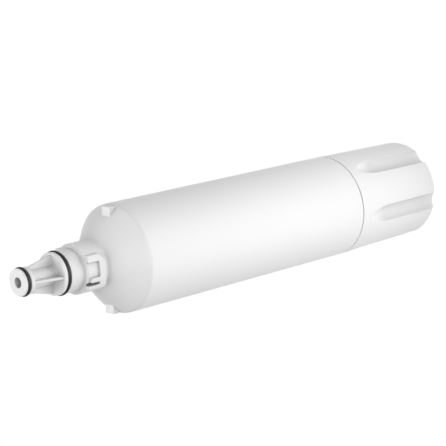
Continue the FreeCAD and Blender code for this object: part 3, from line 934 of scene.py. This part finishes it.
def shoulder_stop(barrel, lug, at):
    """One square stop that stands up from the shoulder's outer edge."""
    top = at.corner + lug.stop_lift
    reach = barrel.radius - lug.stop_inset
    root = reach - lug.stop_lift
    half_wall = barrel.wall / 2
    outline = Outline([
        Corner(reach, top, lug.corner_round),
        Corner(reach, at.cone(barrel, reach) - half_wall),
        Corner(root, at.cone(barrel, root) - half_wall),
        Corner(root, top),
    ])
    half = lug.stop_width / 2
    return add_object("shoulder_stops", plate(outline, -half, half, lug.stop_round, both_faces=True))


def combine(piece, other, operation):
    """Join another shape to a piece, or cut it away."""
    modifier = piece.modifiers.new(other.name, "BOOLEAN")
    modifier.operation = operation
    modifier.solver = "MANIFOLD"
    modifier.object = other
    bake(piece)


class CARTRIDGE_OT_housing(bpy.types.Operator):
    """Build the housing: turned shell, ribbed nose, bayonet lugs and shoulder stops in one moulding"""

    bl_idname = "cartridge.housing"
    bl_label = "Housing"

    def execute(self, context):
        barrel = context.scene.cartridge_barrel
        nose = context.scene.cartridge_nose
        lug = context.scene.cartridge_lugs
        finish = context.scene.cartridge_finish
        at = Stations(barrel, nose)
        plastic = moulded_plastic("housing_plastic", finish.housing, finish)
        shell = turned_housing(barrel, nose, at)
        repeat = ring_tree()
        extras = [
            (nose_rib(nose, at), nose.rib_count, "UNION"),
            (bayonet_lug(lug, nose, at), lug.number, "UNION"),
            (shoulder_stop(barrel, lug, at), lug.stops, "UNION"),
            (lug_slit(barrel, lug, at), lug.number, "DIFFERENCE"),
        ]
        for extra, number, operation in extras:
            run_tree(extra, repeat, Count=number, Material=plastic)
            combine(shell, extra, operation)
            remove(extra)
        shell.data.materials.clear()
        shell.data.materials.append(plastic)
        smooth(shell, sharp=32.0)
        hand_over(shell, "housing")
        return {"FINISHED"}


def flute_directions(cap):
    """Directions round the cap: close together along the flutes' edges, further apart on the lands."""
    floor_steps = 20
    edge_steps = 14
    land_steps = 14
    half_pitch = math.pi / cap.flutes
    middle_radius = HOUSING_HIGH.x - cap.taper / 2
    centre = middle_radius + cap.flute_radius - cap.flute_depth
    cosine = (middle_radius ** 2 + centre ** 2 - cap.flute_radius ** 2) / (2 * middle_radius * centre)
    rim = math.acos(cosine)
    band = cap.flute_edge / middle_radius
    half = parts(0.0, rim - band, floor_steps)
    half += parts(rim - band, rim + band, edge_steps)
    half += parts(rim + band, half_pitch, land_steps)
    pitch = [-offset for offset in reversed(half[1:])] + half + [half_pitch]
    middles = [cap.flute_turn + 2 * half_pitch * flute for flute in range(cap.flutes)]
    return [middle + offset for middle in middles for offset in pitch]


def cap_outline(barrel, cap):
    """The cap's section before its flutes, from the axis round the outside and back to the axis."""
    margin = 1.0 * MM
    wall_step = 4 * MM
    foot_step = 0.2 * MM
    climb_step = 0.35 * MM
    top_step = 2 * MM
    inner_step = 1.5 * MM
    lip_round = 0.08 * MM
    seam = HOUSING_LOW.z
    end_radius = barrel.radius - cap.taper
    narrowing = cap.taper / seam
    tip = seam - cap.flute_start
    climb_start = tip - cap.flute_runout
    bore = barrel.radius - barrel.wall
    tongue = bore - cap.tongue_clearance
    tongue_bore = tongue - cap.tongue_wall
    inside = end_radius + narrowing * cap.floor - cap.wall
    edge = seam - barrel.seam_gap / 2
    heights = spread(cap.end_round + margin, climb_start - margin, wall_step)
    heights += spread(climb_start - margin, climb_start + 2 * margin, foot_step)
    heights += spread(climb_start + 2 * margin, tip + 2 * margin, climb_step)
    heights += spread(tip + 2 * margin, edge - margin, top_step)
    outside = [Corner(end_radius + narrowing * height, height) for height in heights]
    inner_heights = spread(cap.floor + margin, seam - (inside - tongue_bore), inner_step)
    inner = [Corner(inside, height) for height in reversed(inner_heights)]
    corners = [
        Corner(0.0, 0.0),
        Corner(end_radius, 0.0, cap.end_round),
        *outside,
        Corner(end_radius + narrowing * edge, edge, lip_round),
        Corner(barrel.radius - barrel.seam_depth, edge),
        Corner(barrel.radius - barrel.seam_depth, seam),
        Corner(tongue, seam),
        Corner(tongue, seam + cap.tongue),
        Corner(tongue_bore, seam + cap.tongue),
        Corner(tongue_bore, seam),
        Corner(inside, seam - (inside - tongue_bore), mark="inner_top"),
        *inner,
        Corner(inside, cap.floor),
        Corner(0.0, cap.floor),
    ]
    return Outline(corners, open_ends=True, arc_step=4.0)


class CARTRIDGE_OT_grip_cap(bpy.types.Operator):
    """Build the grip cap: a turned cup with a ring of finger flutes pressed into it"""

    bl_idname = "cartridge.grip_cap"
    bl_label = "Grip cap"

    def execute(self, context):
        barrel = context.scene.cartridge_barrel
        cap = context.scene.cartridge_cap
        finish = context.scene.cartridge_finish
        plastic = moulded_plastic("cap_plastic", finish.cap, finish)
        outline = cap_outline(barrel, cap)
        lathe = Lathe(outline, flute_directions(cap))
        inside = {vert for ring in lathe.rings[outline.marks["inner_top"]:] for vert in ring}
        inner_numbers = [number for number, vert in enumerate(lathe.mesh.verts) if vert in inside]
        piece = add_object("grip_cap_fluted", lathe.close(closed=False))
        inset = piece.data.attributes.new("inset", "FLOAT", "POINT")
        for number in inner_numbers:
            inset.data[number].value = cap.flute_wall
        climb_start = HOUSING_LOW.z - cap.flute_start - cap.flute_runout
        run_tree(piece, flute_tree(), **{
            "Count": cap.flutes,
            "Turn": cap.flute_turn,
            "Radius": cap.flute_radius,
            "Depth": cap.flute_depth,
            "Edge": cap.flute_edge,
            "End Radius": barrel.radius - cap.taper,
            "Narrowing": cap.taper / HOUSING_LOW.z,
            "Climb Start": climb_start,
            "Climb Length": cap.flute_runout,
            "Material": plastic,
        })
        smooth(piece, sharp=40.0)
        hand_over(piece, "grip_cap")
        return {"FINISHED"}


class CARTRIDGE_OT_seals(bpy.types.Operator):
    """Build the round seals, each with the faint flash that its mould leaves round it"""

    bl_idname = "cartridge.seals"
    bl_label = "Seals"

    def execute(self, context):
        steps = 144
        rubber = seal_rubber("seal_rubber", context.scene.cartridge_finish.rubber)
        for node in ("tip_o_ring", "neck_o_ring", "spigot_o_ring"):
            low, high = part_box(node)
            section = (high.z - low.z) / 2
            outline = seal_outline(high.x - section, (low.z + high.z) / 2, section)
            lathe = Lathe(outline, parts(0.0, FULL_TURN, steps))
            ring = add_object(f"{node}_moulded", lathe.close())
            ring.data.materials.append(rubber)
            smooth(ring, sharp=60.0)
            hand_over(ring, node)
        return {"FINISHED"}


def seal_outline(radius, height, section):
    """A seal's round section with a low flash line on its inside and outside."""
    flash = 0.012
    width = math.radians(5.0)
    steps = 72
    corners = []
    for turn in parts(0.0, FULL_TURN, steps):
        off_line = math.asin(abs(math.sin(turn)))
        reach = section * (1 - flash + flash * math.exp(-(off_line / width) ** 2))
        corners.append(Corner(radius + reach * math.cos(turn), height + reach * math.sin(turn)))
    return Outline(corners)


class CARTRIDGE_OT_filter_core(bpy.types.Operator):
    """Finish the sealed filter core: carbon block, wrap, net and end caps"""

    bl_idname = "cartridge.filter_core"
    bl_label = "Filter core"

    def execute(self, context):
        finish = context.scene.cartridge_finish
        net_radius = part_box("netting_sleeve")[1].x
        core = natural_plastic("core_plastic", finish.core)
        materials = {
            "carbon_block": pressed_carbon("pressed_carbon", finish.carbon),
            "prefilter_wrap": wrap_fabric("wrap_fabric", finish.wrap),
            "netting_sleeve": extruded_net("net_plastic", finish.net, net_radius, finish.net_mesh),
            "outlet_end_cap": core,
            "closed_end_cap": core,
        }
        for node, material in materials.items():
            for slot in frame["nodes"][node].material_slots:
                slot.material = material
        return {"FINISHED"}


class CARTRIDGE_OT_stage(bpy.types.Operator):
    """Set up the white floor, the soft light and the camera"""

    bl_idname = "cartridge.stage"
    bl_label = "Stage"

    def execute(self, context):
        studio = context.scene.cartridge_studio
        context.scene.view_settings.view_transform = "Standard"
        lay_floor(studio)
        set_camera(context, studio)
        set_lights(context, studio)
        return {"FINISHED"}


def camera_turn(studio):
    """The camera's axes as columns: right, up and back."""
    flat = math.cos(studio.elevation)
    back = Vector((
        math.sin(studio.azimuth) * flat,
        -math.cos(studio.azimuth) * flat,
        math.sin(studio.elevation),
    ))
    level = Vector((0, 0, 1)).cross(back).normalized()
    upright = back.cross(level)
    right = level * math.cos(studio.roll) + upright * math.sin(studio.roll)
    return Matrix((right, back.cross(right), back)).transposed()


def lay_floor(studio):
    """A wide white sheet under the cartridge."""
    mesh = bmesh.new()
    bmesh.ops.create_grid(mesh, x_segments=8, y_segments=8, size=studio.floor_half)
    floor = add_object("floor", mesh)
    floor.data.materials.append(white_sheet("white_sheet", studio))


def set_camera(context, studio):
    """A camera at the photograph's angle."""
    data = bpy.data.cameras.new("camera")
    data.lens = studio.lens
    data.sensor_width = studio.sensor
    camera = link_object("camera", data)
    view = camera_turn(studio)
    camera.matrix_world = Matrix.Translation(studio.aim + view.col[2] * studio.distance) @ view.to_4x4()
    context.scene.camera = camera


def set_lights(context, studio):
    """Soft lights in front, overhead and behind, and white surroundings."""
    soft_light(studio, "front", studio.front_from, studio.front_power)
    soft_light(studio, "top", studio.top_from, studio.top_power)
    soft_light(studio, "back", studio.back_from, studio.back_power)
    world = bpy.data.worlds.new("white_surroundings")
    world.use_nodes = True
    background = world.node_tree.nodes["Background"]
    background.inputs["Color"].default_value = (1.0, 1.0, 1.0, 1.0)
    background.inputs["Strength"].default_value = studio.ambient
    context.scene.world = world


def soft_light(studio, name, direction, power):
    """A large round light that faces the cartridge from a direction."""
    data = bpy.data.lights.new(name, "AREA")
    data.shape = "DISK"
    data.size = studio.light_size
    data.energy = power
    light = link_object(name, data)
    light.location = studio.aim + direction.normalized() * studio.light_distance
    light.rotation_euler = direction.to_track_quat("Z", "Y").to_euler()


# Registration

GROUPS = {
    "cartridge_barrel": BarrelSizes,
    "cartridge_nose": NoseSizes,
    "cartridge_lugs": LugSizes,
    "cartridge_cap": CapSizes,
    "cartridge_finish": Finishes,
    "cartridge_studio": StudioSettings,
}
OPERATORS = (
    CARTRIDGE_OT_housing,
    CARTRIDGE_OT_grip_cap,
    CARTRIDGE_OT_seals,
    CARTRIDGE_OT_filter_core,
    CARTRIDGE_OT_stage,
)


class CARTRIDGE_PT_builder(bpy.types.Panel):
    """Lists the cartridge's operators and sizes"""

    bl_label = "Cartridge"
    bl_idname = "CARTRIDGE_PT_builder"
    bl_space_type = "VIEW_3D"
    bl_region_type = "UI"
    bl_category = "Cartridge"

    def draw(self, context):
        for operator in OPERATORS:
            self.layout.operator(operator.bl_idname)
        for name, group in GROUPS.items():
            column = self.layout.column(heading=group.__doc__)
            for size in group.__annotations__:
                column.prop(getattr(context.scene, name), size)


CLASSES = (*GROUPS.values(), *OPERATORS, CARTRIDGE_PT_builder)


def register():
    """Register the classes, and give each scene the property groups."""
    for kind in CLASSES:
        bpy.utils.register_class(kind)
    for name, group in GROUPS.items():
        setattr(bpy.types.Scene, name, PointerProperty(type=group))


def unregister():
    """Take the classes out again."""
    for name in GROUPS:
        delattr(bpy.types.Scene, name)
    for kind in reversed(CLASSES):
        bpy.utils.unregister_class(kind)


def main():
    """Build every piece, then write the CAD box and the visual model's box."""
    register()
    for operator in OPERATORS:
        group, name = operator.bl_idname.split(".")
        getattr(getattr(bpy.ops, group), name)()


if __name__ == "__main__":
    main()
